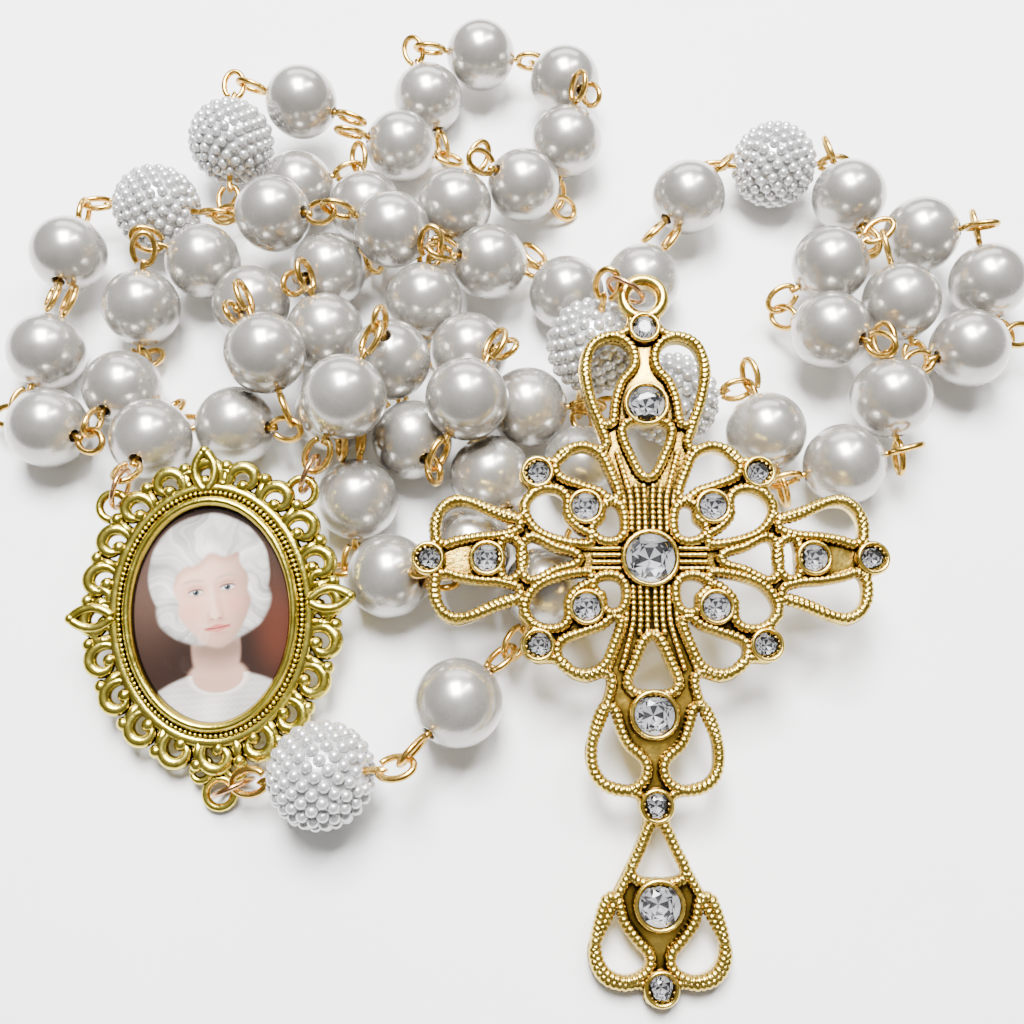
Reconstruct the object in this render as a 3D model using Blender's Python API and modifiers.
"""A rosary lying in a loose heap: 59 pearl beads on eye pins, a photo medallion and a jewelled cross.

The chain lies on the table (z = 0) and the cross and the medallion lean on it.  All sizes below
are in millimetres and MM turns them into metres.  The origin is on the table, under the middle
of the heap.  +X is to the right of a person looking along +Y.
"""
import math

import bmesh
import bpy
import numpy as np
from mathutils import Matrix, Vector

MM = 0.001
ORIGIN = Vector((1.31, 68.85, 0.03))    # middle of the heap in the layout's own millimetres

# beads and wire
PEARL_R = 5.0                           # Hail Mary bead
CLUSTER_R = 6.0                         # Our Father bead
WIRE_R = 0.3                            # eye pins and jump rings
BORE_R = 0.65                           # bore of a bead that turns on its pin
EYE_OUT = 2.5                           # from a bead's surface to the middle of the pin's eye
EYE_LONG = 2.05                         # half length of an eye, middle of the wire
EYE_WIDE = 1.4                          # half width of an eye, middle of the wire
EYE_TURN = 330                          # degrees of the bend, from the bead to its cut end
EYE_LOW = 1.7                           # lowest place for the middle of an eye
LINK_MIN, LINK_MAX = 1.7, 2.5           # distance between the middles of two linked eyes
RIM_CLEAR = 2.0                         # from a bead to the middle of the medallion's edge
EYE_CLEAR = 1.75                        # from the middle of an eye to another bead
EYES_APART = 3.2                        # between the middles of eyes that aren't linked
EYE_PLAY = 0.2                          # how far an eye's middle may be from its ring's wire
GAP = 0.3                               # clearance that touching pieces keep
KNOT_R = 0.5                            # two linked eyes, where a strand is drawn as one body

# jump rings: from the middle of a ring to the middle of its wire
RING_R = 2.3

# cross, in its own plane: u to the right, v towards the head, from the middle jewel
CROSS_PLACE = (15.5, 48.6, 10.7)
CROSS_TILT = 12.9                       # degrees, the head is raised on the heap
CROSS_THICK = 1.6
BAIL_V = 31.3
BAIL_HOLE_R = 1.6
SEAT_WALL = 0.65                        # metal round a jewel's seat
SEAT_RISE = 0.8                         # how far a seat stands out of the plate
SEAT_PLAY = 0.2                         # between a jewel and its seat
SEAT_FLOOR = 0.7                        # height of the seat's bottom
JEWEL_LOW = 1.0                         # height of a jewel's point
GIRDLE_RISE = 0.35                      # from the plate to a jewel's widest place

# medallion, in its own plane: u to the right, v towards the head, from the middle of the picture
MEDAL_PLACE = (-34.4, 44.0, 5.8)
MEDAL_TILT = 16.0
MEDAL_TURN = 5.0
PICTURE = (9.0, 12.5)                   # half width and half height of the picture opening
BORDER = (15.0, 17.8)                   # half width and half height of the openwork border
MEDAL_THICK = 2.0
TRAY_FLOOR = 0.7
BEZEL_WIDE = 1.5
BEZEL_RISE = 1.0
PRINT_THICK = 0.4
GLASS_EDGE, GLASS_RISE = 0.6, 1.2       # height of the cabochon's wall, and of its dome
LUG_HEIGHT = 1.0                        # middle of a lug's wire
SCALLOPS = 16
LUG_PLACE = (10.9, 13.3)
DROP_LOOP_V = -20.2
LUG_R, LUG_WIRE = 1.45, 0.5

# Where each bead of the loop lies and which way its pin points, from the medallion's left lug
# round to its right lug: x, y, z of the middle, heading from +X and rise, in degrees.
DECADE_1 = [
    (-43.5, 66.5, 9.5, 80, 5), (-34.0, 66.0, 5.0, -45, -5), (-32.0, 75.0, 5.0, 120, 10),
    (-36.5, 81.5, 6.0, 60, -20), (-40.5, 91.0, 7.0, 170, 25), (-48.5, 84.0, 6.5, -100, -40),
    (-47.5, 73.5, 5.0, -95, 25), (-56.5, 68.5, 5.5, 155, -15), (-60.0, 81.5, 5.0, 75, 10),
    (-59.5, 94.0, 7.0, 85, -5)]
DECADE_2 = [
    (-32.5, 98.0, 9.0, -15, 15), (-16.5, 96.0, 9.5, 0, -25), (-8.0, 102.0, 6.5, 55, 25),
    (1.5, 105.5, 6.5, 10, -35), (7.0, 114.5, 6.5, 75, 35), (8.0, 125.5, 7.0, 120, -25),
    (-5.0, 130.0, 7.0, 180, 10), (-13.0, 124.0, 5.0, -70, -20), (-15.0, 114.0, 5.5, -165, 25),
    (-28.5, 119.0, 8.5, 165, 0)]
DECADE_3 = [
    (-29.5, 106.5, 5.0, 10, 0), (-20.0, 104.5, 5.0, -75, -10), (-25.0, 92.0, 5.5, -130, 25),
    (-25.5, 81.5, 6.0, -80, -35), (-26.5, 71.0, 5.0, -85, 25), (-23.0, 60.0, 5.0, -85, -25),
    (-17.5, 51.0, 5.0, 0, 25), (-5.5, 54.5, 6.0, 5, -15), (0.5, 62.5, 5.0, 115, -5),
    (4.0, 71.5, 5.0, 8, 20)]
DECADE_4 = [
    (31.0, 70.0, 6.5, -80, -25), (40.0, 64.5, 6.5, 5, 10), (47.0, 72.0, 8.0, 95, 15),
    (41.0, 81.0, 8.0, 135, -30), (42.0, 92.0, 8.5, 30, 20), (50.5, 86.0, 8.0, -75, -20),
    (58.5, 79.5, 7.0, 20, -5), (62.5, 90.0, 7.0, 105, 20), (55.0, 97.5, 7.5, 165, -30),
    (46.5, 104.5, 7.0, 110, 5)]
DECADE_5 = [
    (24.0, 104.5, 7.0, -135, 0), (17.0, 91.5, 5.0, -125, -5), (7.0, 89.5, 5.0, 125, 5),
    (-2.5, 93.5, 6.5, -170, 30), (-12.0, 87.0, 6.5, -95, -40), (-5.0, 80.0, 6.5, -30, 35),
    (-6.0, 69.0, 10.5, -115, -10), (-13.5, 64.5, 5.0, 135, -25), (-17.5, 73.0, 9.5, 85, 85),
    (-19.9, 66.2, 14.5, -110, -20)]
OUR_FATHERS = [
    (-49.0, 103.5, 6.0, -5, 0), (-39.5, 113.5, 8.5, -72, -20), (21.5, 77.5, 9.5, 25, 5),
    (37.0, 110.5, 6.0, 180, 0)]
# The drop, from the medallion's lower ring to the cross's ring: cluster, three pearls, cluster.
DROP = [
    (-20.3, 28.0, 6.0, 18, 4), (-6.0, 37.2, 5.0, 47, 0), (5.2, 50.3, 5.0, 55, 0),
    (11.5, 65.0, 5.0, 107, -5), (9.4, 79.0, 11.0, 38, 68)]
DROP_IS_CLUSTER = [True, False, False, False, True]

# The way in which each jump ring hangs from its lug, loop or bail
LEFT_RING_WAY = (0.25, 0.93, 0.1)
RIGHT_RING_WAY = (0.4, 0.85, 0.35)
LOWER_RING_WAY = (0.75, 0.15, 0.64)
CROSS_RING_WAY = (-0.87, 0.48, 0.1)

GOLD = (0.80, 0.58, 0.20)
PALE_GOLD = (0.72, 0.60, 0.26)
ROSE_GOLD = (0.78, 0.50, 0.24)
PEARL = (0.86, 0.84, 0.82)
WHITE_PEARL = (0.92, 0.91, 0.90)
JEWEL = (0.90, 0.92, 0.95)
PRINT = (0.45, 0.36, 0.30)
GLASS = (0.95, 0.97, 0.98)


def clear_scene():
    for item in list(bpy.data.objects):
        bpy.data.objects.remove(item, do_unlink=True)


def new_collection(name):
    made = bpy.data.collections.new(name)
    bpy.context.scene.collection.children.link(made)
    return made


def material(name, colour, roughness, metallic):
    made = bpy.data.materials.new(name)
    made.use_nodes = True
    shader = made.node_tree.nodes["Principled BSDF"]
    shader.inputs["Base Color"].default_value = (*colour, 1.0)
    shader.inputs["Roughness"].default_value = roughness
    shader.inputs["Metallic"].default_value = metallic
    return made


def at(point):
    """A layout point in millimetres as a world point in metres."""
    return (Vector(point) - ORIGIN) * MM


# ---------------------------------------------------------------- how the chain lies

def route_rows():
    """Every bead in chain order: its row, whether it is a cluster bead, and its group."""
    rows = []
    decades = [DECADE_1, DECADE_2, DECADE_3, DECADE_4, DECADE_5]
    for number, decade in enumerate(decades):
        rows += [(row, False, "decade_%d" % (number + 1)) for row in decade]
        if number < 4:
            rows.append((OUR_FATHERS[number], True, "our_father_%d" % (number + 1)))
    rows += [(row, cluster, "drop") for row, cluster in zip(DROP, DROP_IS_CLUSTER)]
    return rows


def pointing(heading, rise):
    heading, rise = math.radians(heading), math.radians(rise)
    return np.array([math.cos(heading) * math.cos(rise),
                     math.sin(heading) * math.cos(rise), math.sin(rise)])


def cross_matrix():
    return (Matrix.Translation(at(CROSS_PLACE))
            @ Matrix.Rotation(math.radians(CROSS_TILT), 4, "X"))


def medal_matrix():
    return (Matrix.Translation(at(MEDAL_PLACE)) @ Matrix.Rotation(math.radians(MEDAL_TURN), 4, "Z")
            @ Matrix.Rotation(math.radians(MEDAL_TILT), 4, "X"))


def ring_places():
    """Name, middle, normal and way of each jump ring, hung through a lug, loop or bail.

    A ring stands square to the plane of the hole that it passes through.
    """
    medal, cross = medal_matrix(), cross_matrix()
    bail_height = CROSS_THICK / 2
    hung = [
        ("medallion_left_ring", medal, (-LUG_PLACE[0], LUG_PLACE[1], LUG_HEIGHT), LEFT_RING_WAY),
        ("medallion_right_ring", medal, (*LUG_PLACE, LUG_HEIGHT), RIGHT_RING_WAY),
        ("medallion_lower_ring", medal, (0, DROP_LOOP_V, LUG_HEIGHT), LOWER_RING_WAY),
        ("cross_ring", cross, (0, BAIL_V, bail_height), CROSS_RING_WAY)]
    places = []
    for name, matrix, hole, way in hung:
        way = Vector(way).normalized()
        hole_middle = matrix @ (Vector(hole) * MM) / MM + ORIGIN
        plane_normal = matrix.to_3x3() @ Vector((0, 0, 1))
        places.append((name, hole_middle + way * RING_R, way.cross(plane_normal).normalized(), way))
    return places


def press_under_cross(ends, radius):
    """Beads that lie under the cross are kept below the underside of its plate."""
    matrix = cross_matrix()
    normal = np.array(matrix.to_3x3() @ Vector((0, 0, 1)))
    base = np.array(matrix.translation / MM + ORIGIN)
    away = ends.mean(1) - base
    u = np.abs(away[:, 0])
    v = away.dot(np.array(matrix.to_3x3() @ Vector((0, 1, 0))))
    reach = radius * 0.8
    under = (v > -50) & (v < 35 + reach) & (
        (u < 8 + reach) | ((u < 15 + reach) & (np.abs(v) < 14 + reach))
        | ((u < 27 + reach) & (np.abs(v) < 8 + reach)))
    over = np.clip(away.dot(normal) + radius + GAP, 0, None) * under
    return ends - (normal * over[:, None])[:, None]


def medal_rim():
    """Points round the medallion's border, which the beads keep clear of."""
    matrix = medal_matrix()
    points = []
    for u, v in ellipse(BORDER[0] - 0.5, BORDER[1] - 0.5, 24):
        points.append(matrix @ Vector((u * MM, v * MM, MEDAL_THICK / 2 * MM)) / MM + ORIGIN)
    return np.array(points)


def settle(rows, rounds=900):
    """The two eye middles of each pin, once the beads have made room for each other.

    A pin is a rod that keeps its length, two linked eyes stay within reach of each other, the
    beads and eyes keep clear of every other bead, and nothing sinks into the table.
    """
    middle = np.array([row[:3] for row, _, _ in rows], float)
    radius = np.array([CLUSTER_R if cluster else PEARL_R for _, cluster, _ in rows])
    axis = np.array([pointing(row[3], row[4]) for row, _, _ in rows])
    arm = radius + EYE_OUT
    ends = np.stack([middle - axis * arm[:, None], middle + axis * arm[:, None]], 1)
    count = len(rows)
    drop = count - len(DROP)
    linked = [k for k in range(count - 1) if k != drop - 1]
    rings = ring_places()
    held = [(0, 0), (drop - 1, 1), (drop, 0), (count - 1, 1)]
    anchors = [(k, side, np.array(middle + way * RING_R))
               for (k, side), (_, middle, _, way) in zip(held, rings)]
    own = np.arange(2 * count) // 2
    unlinked = 1.0 - np.eye(2 * count)
    for k in linked:
        unlinked[2 * k + 1, 2 * k + 2] = unlinked[2 * k + 2, 2 * k + 1] = 0.0
    rim = medal_rim()
    rim_clear = np.full(len(rim) + len(rings), RIM_CLEAR)
    rim_clear[len(rim):] = RING_R + WIRE_R + GAP
    rim = np.concatenate([rim, [np.array(ring[1]) for ring in rings]])
    for _ in range(rounds):
        for k in linked:
            span = ends[k + 1, 0] - ends[k, 1]
            length = np.linalg.norm(span) + 1e-9
            change = span * (length - np.clip(length, LINK_MIN, LINK_MAX)) / length / 2
            ends[k, 1] += change
            ends[k + 1, 0] -= change
        for k, side, ring in anchors:
            span = ends[k, side] - ring
            length = np.linalg.norm(span) + 1e-9
            ends[k, side] -= span * max(length - EYE_PLAY, 0) / length
        middle = ends.mean(1)
        apart = middle[:, None] - middle[None]
        far = np.linalg.norm(apart, axis=2) + 1e-9
        short = np.clip(radius[:, None] + radius[None] + GAP - far, 0, None)
        np.fill_diagonal(short, 0)
        ends += (apart / far[:, :, None] * short[:, :, None] / 2).sum(1)[:, None]
        apart = middle[:, None] - rim[None]
        far = np.linalg.norm(apart, axis=2) + 1e-9
        short = np.clip(radius[:, None] + rim_clear[None] - far, 0, None)
        ends += (apart / far[:, :, None] * short[:, :, None]).sum(1)[:, None]
        ends = press_under_cross(ends, radius)
        eyes = ends.reshape(-1, 3)
        apart = eyes[:, None] - middle[None]
        far = np.linalg.norm(apart, axis=2) + 1e-9
        short = np.clip(radius[None] + EYE_CLEAR - far, 0, None)
        short[np.arange(2 * count), own] = 0
        push = apart / far[:, :, None] * short[:, :, None] * 0.4
        ends = (eyes + push.sum(1)).reshape(count, 2, 3) - (push.sum(0) / 2)[:, None]
        eyes = ends.reshape(-1, 3)
        apart = eyes[:, None] - eyes[None]
        far = np.linalg.norm(apart, axis=2) + 1e-9
        short = np.clip(EYES_APART - far, 0, None) * unlinked
        ends = (eyes + (apart / far[:, :, None] * short[:, :, None]).sum(1) * 0.4).reshape(count, 2, 3)
        span = ends[:, 1] - ends[:, 0]
        length = np.linalg.norm(span, axis=1)
        change = span * ((length - 2 * arm) / length / 2)[:, None]
        ends[:, 0] += change
        ends[:, 1] -= change
        sunk = np.clip(radius - ends.mean(1)[:, 2], 0, None)
        ends[:, :, 2] += sunk[:, None]
        ends[:, :, 2] = np.maximum(ends[:, :, 2], EYE_LOW)
    return ends, radius


def eye_loop(middle, outward, across, steps=10):
    """Points round an eye, from where the wire comes out of the bead to its cut end."""
    points = []
    for step in range(steps + 1):
        turn = math.pi - math.radians(EYE_TURN) * step / steps
        points.append(middle + outward * EYE_LONG * math.cos(turn) + across * EYE_WIDE * math.sin(turn))
    return points


def ring_loop(middle, normal, steps=16):
    """Points round a jump ring, middle of the wire."""
    first = np.array(Vector(normal).orthogonal().normalized())
    second = np.cross(normal, first)
    turns = [2 * math.pi * step / steps for step in range(steps + 1)]
    return [middle + (first * math.cos(t) + second * math.sin(t)) * RING_R for t in turns]


def square_ways(axis, count=24):
    """Directions square to an axis, evenly spaced over half a turn."""
    first = np.array(Vector(axis).orthogonal().normalized())
    second = np.cross(axis, first)
    turns = [math.pi * step / count for step in range(count)]
    return [first * math.cos(t) + second * math.sin(t) for t in turns]


def filled(points):
    points = np.array(points)
    return np.concatenate([points, (points[1:] + points[:-1]) / 2])


def threads(middle, outward, across, loop):
    """Whether a closed loop passes through the hole of an eye."""
    normal = np.cross(outward, across)
    height = (np.array(loop) - middle).dot(normal)
    crossings = 0
    for k in range(len(loop) - 1):
        if height[k] * height[k + 1] < 0:
            share = height[k] / (height[k] - height[k + 1])
            spot = loop[k] + (loop[k + 1] - loop[k]) * share - middle
            inside = (spot.dot(outward) / EYE_LONG) ** 2 + (spot.dot(across) / EYE_WIDE) ** 2
            crossings += inside < 1
    return crossings % 2 == 1


def room_between(first, second):
    apart = filled(first)[:, None] - filled(second)[None]
    return np.linalg.norm(apart, axis=2).min()


def turn_eyes(ends, fused):
    """Along and across of every eye, each turned on its pin until linked wires have most room.

    Two linked eyes inside one fused run need no turning, because a knot stands for them.
    """
    along = ends[:, 1] - ends[:, 0]
    along /= np.linalg.norm(along, axis=1)[:, None]
    across = np.zeros_like(ends)
    count = len(ends)
    drop = count - len(DROP)
    for k in range(count - 1):
        if k == drop - 1 or (fused[k] and fused[k] == fused[k + 1]):
            continue
        best = -1
        for one in square_ways(along[k]):
            loop = eye_loop(ends[k, 1], along[k], one)
            for two in square_ways(along[k + 1]):
                other = eye_loop(ends[k + 1, 0], -along[k + 1], two)
                linked = threads(ends[k, 1], along[k], one, other + other[:1])
                room = room_between(loop, other) + (1.0 if linked else 0.0)
                if room > best:
                    best, across[k, 1], across[k + 1, 0] = room, one, two
    held = [(0, 0), (drop - 1, 1), (drop, 0), (count - 1, 1)]
    for (k, side), (_, middle, normal, _) in zip(held, ring_places()):
        outward = along[k] if side else -along[k]
        ring = ring_loop(np.array(middle), np.array(normal))
        best = -1
        for one in square_ways(along[k]):
            loop = eye_loop(ends[k, side], outward, one)
            linked = threads(ends[k, side], outward, one, ring)
            room = room_between(loop, ring) + (1.0 if linked else 0.0)
            if room > best:
                best, across[k, side] = room, one
    return along, across


# ---------------------------------------------------------------- shapes

def eye_pin_points(ends, along, across):
    start = eye_loop(ends[0], -along, across[0])
    finish = eye_loop(ends[1], along, across[1])
    return start[::-1] + finish


def tube(name, points, radii, finish, home, sides=1):
    """A wire along points in layout millimetres, with a radius at each."""
    curve = bpy.data.curves.new(name, "CURVE")
    curve.dimensions = "3D"
    curve.bevel_depth = MM
    curve.bevel_resolution = sides
    curve.use_fill_caps = True
    spline = curve.splines.new("POLY")
    spline.points.add(len(points) - 1)
    for spot, point, radius in zip(spline.points, points, radii):
        spot.co = (*at(point), 1.0)
        spot.radius = radius
    curve.materials.append(finish)
    made = bpy.data.objects.new(name, curve)
    home.objects.link(made)
    return made


def wire(name, points, finish, home):
    return tube(name, points, [WIRE_R] * len(points), finish, home)


def bead_swell(ends, radius):
    """Points and radii of a bead on its pin, where both are drawn as one body."""
    middle = (ends[0] + ends[1]) / 2
    along = (ends[1] - ends[0]) / np.linalg.norm(ends[1] - ends[0])
    points, radii = [], []
    for turn in (0, 32, 60, 90, 120, 148, 180):
        swing = math.radians(turn)
        points.append(middle - along * radius * math.cos(swing))
        radii.append(max(radius * math.sin(swing), WIRE_R))
    return points, radii


def strand(name, chain, radius, along, across, finish, home):
    """A run of beads and their pins as one body, with an open eye at each end."""
    points, radii = [], []
    for point in eye_loop(chain[0][0], -along[0], across[0][0])[::-1]:
        points.append(point)
        radii.append(WIRE_R)
    for k in range(len(chain)):
        swell, swell_radii = bead_swell(chain[k], radius[k])
        points += swell
        radii += swell_radii
        if k + 1 < len(chain):
            points += [chain[k][1], chain[k + 1][0]]
            radii += [KNOT_R, KNOT_R]
    for point in eye_loop(chain[-1][1], along[-1], across[-1][1]):
        points.append(point)
        radii.append(WIRE_R)
    return tube(name, points, radii, finish, home, sides=2)


def turned_bead(name, middle, along, radius, finish, home, sides=10):
    """A bead with a bore, turned about its own Z axis, which lies along the pin."""
    mesh = bpy.data.meshes.new(name)
    shape = bmesh.new()
    top = math.acos(BORE_R / radius)
    profile = []
    for step in range(7):
        lift = top - 2 * top * step / 6
        profile.append(shape.verts.new((radius * math.cos(lift) * MM, 0, radius * math.sin(lift) * MM)))
    for first, second in zip(profile, profile[1:] + profile[:1]):
        shape.edges.new((first, second))
    shape.to_mesh(mesh)
    shape.free()
    mesh.materials.append(finish)
    made = bpy.data.objects.new(name, mesh)
    home.objects.link(made)
    screw = made.modifiers.new("turn", "SCREW")
    screw.steps = screw.render_steps = sides
    screw.use_merge_vertices = True
    screw.merge_threshold = 0.00001
    screw.use_normal_calculate = True
    made.location = at(middle)
    made.rotation_mode = "QUATERNION"
    made.rotation_quaternion = Vector(along).to_track_quat("Z", "Y")
    return made


def jump_ring(name, middle, normal, finish, home):
    bpy.ops.mesh.primitive_torus_add(
        major_radius=RING_R * MM, minor_radius=WIRE_R * MM, major_segments=16, minor_segments=6,
        location=at(middle), rotation=Vector(normal).to_track_quat("Z", "Y").to_euler())
    made = bpy.context.object
    made.name = name
    made.data.materials.append(finish)
    for old in list(made.users_collection):
        old.objects.unlink(made)
    home.objects.link(made)
    made.data.shade_smooth()
    return made


def outline_object(name, outlines, thick, finish, home, base=0.0):
    """A flat plate from closed outlines in millimetres; inner outlines are its openings."""
    curve = bpy.data.curves.new(name, "CURVE")
    curve.dimensions = "2D"
    curve.fill_mode = "BOTH"
    curve.extrude = thick / 2 * MM
    for points in outlines:
        spline = curve.splines.new("POLY")
        spline.points.add(len(points) - 1)
        for spot, (u, v) in zip(spline.points, points):
            spot.co = (u * MM, v * MM, 0, 1)
        spline.use_cyclic_u = True
    made = bpy.data.objects.new(name + "_outline", curve)
    home.objects.link(made)
    bpy.context.view_layer.update()
    mesh = bpy.data.meshes.new_from_object(made.evaluated_get(bpy.context.evaluated_depsgraph_get()))
    mesh.transform(Matrix.Translation((0, 0, (base + thick / 2) * MM)))
    bpy.data.objects.remove(made, do_unlink=True)
    shape = bmesh.new()
    shape.from_mesh(mesh)
    bmesh.ops.remove_doubles(shape, verts=shape.verts, dist=0.000001)
    bmesh.ops.recalc_face_normals(shape, faces=shape.faces)
    shape.to_mesh(mesh)
    shape.free()
    mesh.materials.clear()
    mesh.materials.append(finish)
    plate = bpy.data.objects.new(name, mesh)
    home.objects.link(plate)
    return plate


def cylinder_mesh(shape, u, v, low, high, radius, sides=10):
    bmesh.ops.create_cone(
        shape, cap_ends=True, segments=sides, radius1=radius * MM, radius2=radius * MM,
        depth=(high - low) * MM,
        matrix=Matrix.Translation((u * MM, v * MM, (low + high) / 2 * MM)))


def mesh_object(name, fill, home):
    mesh = bpy.data.meshes.new(name)
    shape = bmesh.new()
    fill(shape)
    shape.to_mesh(mesh)
    shape.free()
    made = bpy.data.objects.new(name, mesh)
    home.objects.link(made)
    return made


def boolean(target, tool, operation):
    """Join or cut with another object, which stays in the cutters' collection."""
    tool.hide_render = True
    tool.display_type = "WIRE"
    step = target.modifiers.new(operation.lower(), "BOOLEAN")
    step.operation = operation
    step.solver = "EXACT"
    step.use_self = operation == "UNION"
    step.object = tool


def ellipse(half_u, half_v, count, scallop=0.0, waves=0):
    points = []
    for step in range(count):
        turn = 2 * math.pi * step / count
        grow = 1 + scallop * math.cos(waves * turn)
        points.append((half_u * grow * math.cos(turn), half_v * grow * math.sin(turn)))
    return points


# ---------------------------------------------------------------- the cross

# Left half of the cross's outline from the head to the foot, and its openings on the left.
CROSS_EDGE = [
    (0, 34.1), (-1.5, 33.7), (-2.6, 32.6), (-2.8, 31.1), (-2.3, 29.8), (-1.9, 28.6), (-2.6, 27.4),
    (-4.6, 26.9), (-6.2, 26.1), (-7.3, 24.4), (-7.7, 21.8), (-6.9, 18.4), (-5.9, 15.2),
    (-5.3, 13.3), (-7.2, 13.8), (-9.0, 13.3), (-10.4, 12.0), (-11.3, 11.9), (-12.9, 11.9),
    (-14.3, 10.9), (-14.6, 9.2), (-13.7, 8.0), (-14.7, 6.6), (-14.9, 5.2), (-16.8, 5.6),
    (-20.3, 7.2), (-22.2, 7.4), (-24.0, 6.2), (-24.7, 3.8), (-24.8, 2.1), (-26.2, 1.5),
    (-26.9, 0.0)]
CROSS_LOW_EDGE = [
    (-26.2, -1.5), (-24.8, -2.1), (-24.7, -3.8), (-24.0, -6.2), (-22.2, -7.4), (-20.3, -7.2),
    (-16.8, -5.6), (-14.9, -5.2), (-14.7, -6.6), (-13.7, -8.0), (-14.6, -9.0), (-14.3, -10.7),
    (-12.9, -11.7), (-11.3, -11.7), (-10.4, -12.0), (-9.0, -13.3), (-7.2, -13.8), (-5.3, -13.3),
    (-5.4, -15.0), (-6.6, -18.0), (-7.6, -20.9), (-7.2, -23.4), (-5.9, -25.1), (-3.9, -25.8),
    (-2.2, -26.2), (-1.9, -27.3), (-1.5, -28.6), (-2.6, -31.4), (-4.6, -35.2), (-6.6, -38.9),
    (-7.6, -41.4), (-7.2, -43.6), (-5.8, -45.1), (-3.8, -45.6), (-2.1, -45.4), (-1.8, -46.4),
    (-0.9, -47.1), (0, -47.2)]
SIDE_OPENINGS = [
    [(-4.4, 16.0), (-4.0, 18.6), (-3.2, 21.0), (-1.8, 22.8), (-1.8, 24.4), (-2.8, 25.6),
     (-4.3, 25.8), (-5.7, 24.9), (-6.3, 22.8), (-6.1, 20.0), (-5.3, 17.2)],
    [(-9.9, 10.0), (-9.5, 11.7), (-7.6, 12.5), (-5.8, 11.8), (-4.8, 9.8), (-3.9, 7.2), (-5.4, 8.2),
     (-7.4, 8.9)],
    [(-9.8, 7.0), (-11.4, 7.6), (-13.0, 6.9), (-13.5, 5.4), (-12.2, 3.5), (-9.6, 2.5), (-6.9, 2.2),
     (-8.4, 3.2), (-9.7, 4.8)],
    [(-3.5, 2.8), (-3.3, 4.6), (-3.8, 5.9), (-4.8, 5.8), (-5.0, 4.4), (-6.0, 3.3), (-4.9, 2.5)],
    [(-23.4, 2.2), (-23.6, 4.3), (-22.4, 5.9), (-20.5, 6.0), (-17.6, 4.9), (-15.0, 3.9),
     (-16.8, 3.2), (-19.2, 3.0), (-21.6, 2.6)],
    [(-16.2, 1.7), (-15.2, 1.5), (-14.7, 0.0), (-15.2, -1.5), (-16.2, -1.7)],
    [(-13.6, 1.9), (-10.8, 0.8), (-8.4, 0.0), (-10.8, -0.8), (-13.6, -1.9)],
    [(-23.4, -2.2), (-21.6, -2.6), (-19.2, -3.0), (-16.8, -3.2), (-15.0, -3.9), (-17.6, -4.9),
     (-20.5, -6.0), (-22.4, -5.9), (-23.6, -4.3)],
    [(-3.5, -2.8), (-4.9, -2.4), (-6.0, -3.0), (-5.0, -4.0), (-4.8, -5.4), (-3.8, -5.5),
     (-3.3, -4.4)],
    [(-9.7, -4.6), (-8.4, -3.0), (-6.9, -2.1), (-9.6, -2.4), (-12.2, -3.4), (-13.5, -5.2),
     (-13.0, -6.7), (-11.4, -7.4), (-9.8, -6.8)],
    [(-9.9, -9.8), (-7.4, -8.7), (-5.4, -8.0), (-3.9, -7.0), (-4.8, -9.6), (-5.8, -11.6),
     (-7.6, -12.3), (-9.5, -11.5)],
    [(-4.9, -16.8), (-5.8, -18.4), (-6.3, -20.8), (-6.1, -23.2), (-4.8, -24.5), (-2.9, -24.7),
     (-1.6, -23.8), (-1.6, -22.4), (-3.3, -20.8), (-4.2, -18.8)],
    [(-4.9, -36.6), (-5.8, -38.8), (-6.2, -41.2), (-5.5, -43.2), (-3.7, -44.0), (-2.0, -43.4),
     (-1.6, -42.2), (-2.7, -40.9), (-4.2, -38.9)]]
MIDDLE_OPENINGS = [
    [(-2.2, 15.3), (-1.3, 11.8), (0, 9.8), (1.3, 11.8), (2.2, 15.3)],
    [(-2.1, -14.3), (-1.5, -11.8), (0, -9.0), (1.5, -11.8), (2.1, -14.3)],
    [(-2.2, -34.0), (-1.4, -31.6), (0, -29.0), (1.4, -31.6), (2.2, -34.0)]]
# Jewels: name, u, v and radius; those with u below 0 have a twin on the right.
JEWELS = [
    ("centre", 0, 0, 2.75), ("head", 0, 27.3, 1.35), ("upper", 0, 18.0, 2.1),
    ("lower", 0, -17.3, 2.2), ("waist", 0, -26.9, 1.35), ("tail", 0, -37.0, 2.2),
    ("foot", 0, -45.2, 1.35), ("arm_end", -24.9, 0, 1.35), ("arm_inner", -18.3, 0, 1.5),
    ("petal_upper_outer", -12.6, 9.9, 1.35), ("petal_upper_inner", -7.2, 5.9, 1.5),
    ("petal_lower_outer", -12.6, -9.7, 1.35), ("petal_lower_inner", -7.2, -5.5, 1.5)]


def mirrored(points):
    return [(-u, v) for u, v in reversed(points)]


def jewel_list():
    found = []
    for name, u, v, radius in JEWELS:
        if u == 0:
            found.append((name, u, v, radius))
        else:
            found.append((name + "_left", u, v, radius))
            found.append((name + "_right", -u, v, radius))
    return found


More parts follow.
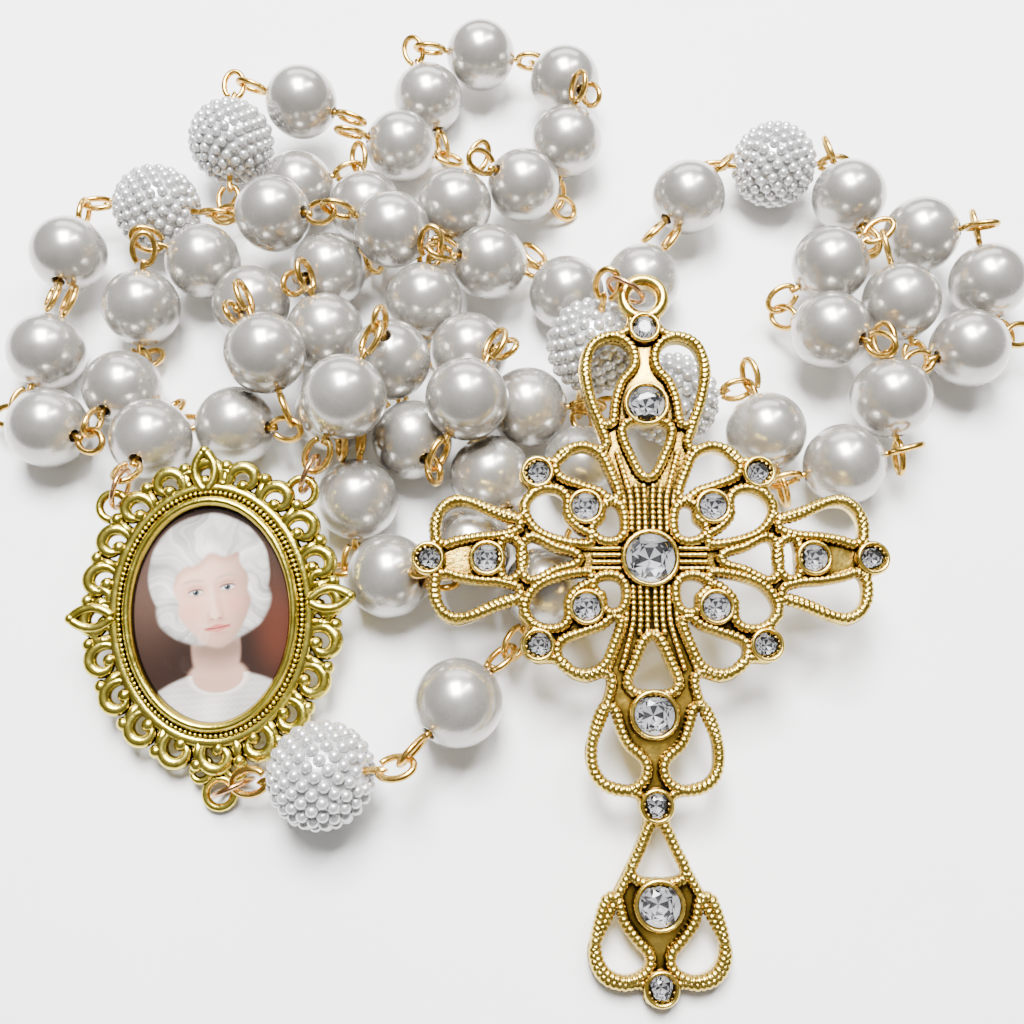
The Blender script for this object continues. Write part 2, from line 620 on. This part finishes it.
def make_cross(home, cutters, looks):
    left = CROSS_EDGE + CROSS_LOW_EDGE
    outline = left + mirrored(left[1:-1])
    openings = SIDE_OPENINGS + [mirrored(points) for points in SIDE_OPENINGS] + MIDDLE_OPENINGS
    bail = [(BAIL_HOLE_R * math.cos(t * math.pi / 5), BAIL_V + BAIL_HOLE_R * math.sin(t * math.pi / 5))
            for t in range(10)]
    frame = outline_object(
        "cross_frame", [outline, bail] + openings, CROSS_THICK, looks["pale_gold"], home)
    jewels = jewel_list()

    def collars(shape):
        for _, u, v, radius in jewels:
            cylinder_mesh(shape, u, v, CROSS_THICK / 2, CROSS_THICK + SEAT_RISE,
                          radius + SEAT_PLAY + SEAT_WALL)

    def seats(shape):
        for _, u, v, radius in jewels:
            cylinder_mesh(shape, u, v, SEAT_FLOOR, CROSS_THICK + SEAT_RISE + 1, radius + SEAT_PLAY)

    place = cross_matrix()
    boolean(frame, mesh_object("cross_collars", collars, cutters), "UNION")
    boolean(frame, mesh_object("cross_seats", seats, cutters), "DIFFERENCE")
    frame.matrix_world = place
    for tool in ("cross_collars", "cross_seats"):
        bpy.data.objects[tool].matrix_world = place
    for name, u, v, radius in jewels:
        make_jewel("jewel_" + name, u, v, radius, place, home, looks["jewel"])


def make_jewel(name, u, v, radius, place, home, finish):
    """A faceted stone: a flat table and crown over a pointed pavilion."""
    girdle = CROSS_THICK + GIRDLE_RISE
    table = girdle + radius * 0.4

    def stone(shape):
        bmesh.ops.create_cone(
            shape, cap_ends=True, segments=8, radius1=radius * 0.4 * MM, radius2=radius * MM,
            depth=(girdle - JEWEL_LOW) * MM,
            matrix=Matrix.Translation((u * MM, v * MM, (JEWEL_LOW + girdle) / 2 * MM)))
        top = [face for face in shape.faces
               if all(abs(vert.co.z - girdle * MM) < 1e-6 for vert in face.verts)]
        grown = bmesh.ops.extrude_face_region(shape, geom=top)
        for vert in [item for item in grown["geom"] if isinstance(item, bmesh.types.BMVert)]:
            vert.co.x = u * MM + (vert.co.x - u * MM) * 0.6
            vert.co.y = v * MM + (vert.co.y - v * MM) * 0.6
            vert.co.z = table * MM
        bmesh.ops.delete(shape, geom=top, context="FACES_ONLY")

    made = mesh_object(name, stone, home)
    made.data.materials.append(finish)
    made.matrix_world = place


# ---------------------------------------------------------------- the medallion

def make_medallion(home, cutters, looks):
    place = medal_matrix()
    outlines = [ellipse(*BORDER, 96, 0.03, SCALLOPS)]
    for number in range(SCALLOPS):
        turn = 2 * math.pi * (number + 0.5) / SCALLOPS
        u = (PICTURE[0] + BEZEL_WIDE + 2.2) * math.cos(turn)
        v = (PICTURE[1] + BEZEL_WIDE + 1.6) * math.sin(turn)
        outlines.append([(u + 0.8 * math.cos(k * math.pi / 3), v + 0.8 * math.sin(k * math.pi / 3))
                         for k in range(6)])
    frame = outline_object("medallion_frame", outlines, MEDAL_THICK, looks["medal_gold"], home)
    rim = outline_object(
        "medallion_rim", [ellipse(PICTURE[0] + BEZEL_WIDE, PICTURE[1] + BEZEL_WIDE, 32)],
        MEDAL_THICK + BEZEL_RISE - 0.6, looks["medal_gold"], cutters, base=0.6)
    tray = outline_object(
        "medallion_tray", [ellipse(PICTURE[0], PICTURE[1], 32)], 5.0, looks["medal_gold"], cutters,
        base=TRAY_FLOOR)

    def lug(shape, u, v):
        ring = bmesh.new()
        steps = 12
        for step in range(steps):
            turn = 2 * math.pi * step / steps
            for side in range(6):
                lean = 2 * math.pi * side / 6
                reach = LUG_R + LUG_WIRE * math.cos(lean)
                ring.verts.new(((u + reach * math.cos(turn)) * MM, (v + reach * math.sin(turn)) * MM,
                                (LUG_HEIGHT + LUG_WIRE * math.sin(lean)) * MM))
        ring.verts.ensure_lookup_table()
        for step in range(steps):
            for side in range(6):
                a, b = step * 6 + side, step * 6 + (side + 1) % 6
                c, d = (step + 1) % steps * 6 + (side + 1) % 6, (step + 1) % steps * 6 + side
                ring.faces.new([ring.verts[n] for n in (d, c, b, a)])
        bmesh.ops.recalc_face_normals(ring, faces=ring.faces)
        mesh = bpy.data.meshes.new("lug")
        ring.to_mesh(mesh)
        ring.free()
        shape.from_mesh(mesh)

    def lugs(shape):
        lug(shape, -LUG_PLACE[0], LUG_PLACE[1])
        lug(shape, LUG_PLACE[0], LUG_PLACE[1])
        lug(shape, 0, DROP_LOOP_V)

    lug_tool = mesh_object("medallion_lugs", lugs, cutters)
    boolean(frame, rim, "UNION")
    boolean(frame, tray, "DIFFERENCE")
    boolean(frame, lug_tool, "UNION")
    for item in (frame, rim, tray, lug_tool):
        item.matrix_world = place

    print_height = TRAY_FLOOR + GAP
    picture = outline_object(
        "portrait_print", [ellipse(PICTURE[0] - GAP, PICTURE[1] - GAP, 32)], PRINT_THICK, looks["print"],
        home, base=print_height)
    picture.matrix_world = place

    def dome(shape):
        bmesh.ops.create_uvsphere(shape, u_segments=24, v_segments=12, radius=1.0)
        low = [vert for vert in shape.verts if vert.co.z < -0.01]
        bmesh.ops.delete(shape, geom=low, context="VERTS")
        rim_edges = [edge for edge in shape.edges if edge.is_boundary]
        grown = bmesh.ops.extrude_edge_only(shape, edges=rim_edges)
        lower = [item for item in grown["geom"] if isinstance(item, bmesh.types.BMVert)]
        for vert in lower:
            vert.co.z = -GLASS_EDGE / GLASS_RISE
        bmesh.ops.contextual_create(
            shape, geom=[edge for edge in shape.edges if edge.is_boundary])
        bmesh.ops.recalc_face_normals(shape, faces=shape.faces)
        scale = Matrix.Diagonal(((PICTURE[0] - GAP) * MM, (PICTURE[1] - GAP) * MM, GLASS_RISE * MM, 1))
        bmesh.ops.transform(shape, matrix=scale, verts=shape.verts)
        lift = Matrix.Translation((0, 0, (print_height + PRINT_THICK + GAP + GLASS_EDGE) * MM))
        bmesh.ops.transform(shape, matrix=lift, verts=shape.verts)

    glass = mesh_object("glass_cabochon", dome, home)
    glass.data.materials.append(looks["glass"])
    glass.matrix_world = place


# ---------------------------------------------------------------- the whole rosary

def make_chain(home, looks):
    rows = route_rows()
    ends, radius = settle(rows)
    fused = [group if group.startswith("decade") else "" for _, _, group in rows]
    along, across = turn_eyes(ends, fused)
    groups = {}
    for k, (_, _, group) in enumerate(rows):
        groups.setdefault(group, []).append(k)
    for group, members in groups.items():
        if group in ("decade_1", "decade_2", "decade_3", "decade_5"):
            strand(group + "_strand", ends[members], radius[members], along[members],
                   across[members], looks["pearl"], home)
            continue
        for number, k in enumerate(members, 1):
            cluster = rows[k][1]
            stem = group + "_%02d" % number if len(members) > 1 else group
            finish = looks["cluster"] if cluster else looks["pearl"]
            turned_bead(stem + "_bead", ends[k].mean(0), along[k], radius[k], finish, home)
            if group != "decade_4":
                wire(stem + "_pin", eye_pin_points(ends[k], along[k], across[k]), looks["gold"], home)
    make_decade_4_wire(ends[groups["decade_4"]], along[groups["decade_4"]],
                       across[groups["decade_4"]], looks["gold"], home)


def make_decade_4_wire(ends, along, across, finish, home):
    """The ten linked pins of the fourth decade, as one body with an open eye at each end."""
    start = eye_loop(ends[0][0], -along[0], across[0][0])[::-1]
    finish_loop = eye_loop(ends[-1][1], along[-1], across[-1][1])
    points = start
    radii = [WIRE_R] * len(start)
    for k in range(len(ends) - 1):
        points = points + [ends[k][1] - along[k] * (EYE_OUT - GAP), ends[k][1], ends[k + 1][0],
                           ends[k + 1][0] + along[k + 1] * (EYE_OUT - GAP)]
        radii += [WIRE_R, KNOT_R, KNOT_R, WIRE_R]
    points = points + finish_loop
    radii += [WIRE_R] * len(finish_loop)
    tube("decade_4_pins", points, radii, finish, home)


def make_rings(home, looks):
    for name, middle, normal, _ in ring_places():
        jump_ring(name, middle, normal, looks["rose_gold"], home)


def main():
    clear_scene()
    rosary = new_collection("rosary")
    cutters = new_collection("cutters")
    looks = {
        "gold": material("pin_gold", GOLD, 0.25, 1.0),
        "pale_gold": material("cross_gold", PALE_GOLD, 0.35, 1.0),
        "medal_gold": material("medallion_gold", PALE_GOLD, 0.35, 1.0),
        "rose_gold": material("ring_gold", ROSE_GOLD, 0.25, 1.0),
        "pearl": material("pearl", PEARL, 0.2, 0.3),
        "cluster": material("pearl_cluster", WHITE_PEARL, 0.3, 0.1),
        "jewel": material("jewel_glass", JEWEL, 0.05, 0.0),
        "print": material("portrait_paper", PRINT, 0.5, 0.0),
        "glass": material("clear_glass", GLASS, 0.05, 0.0)}
    make_chain(rosary, looks)
    make_rings(rosary, looks)
    make_cross(rosary, cutters, looks)
    make_medallion(rosary, cutters, looks)


main()
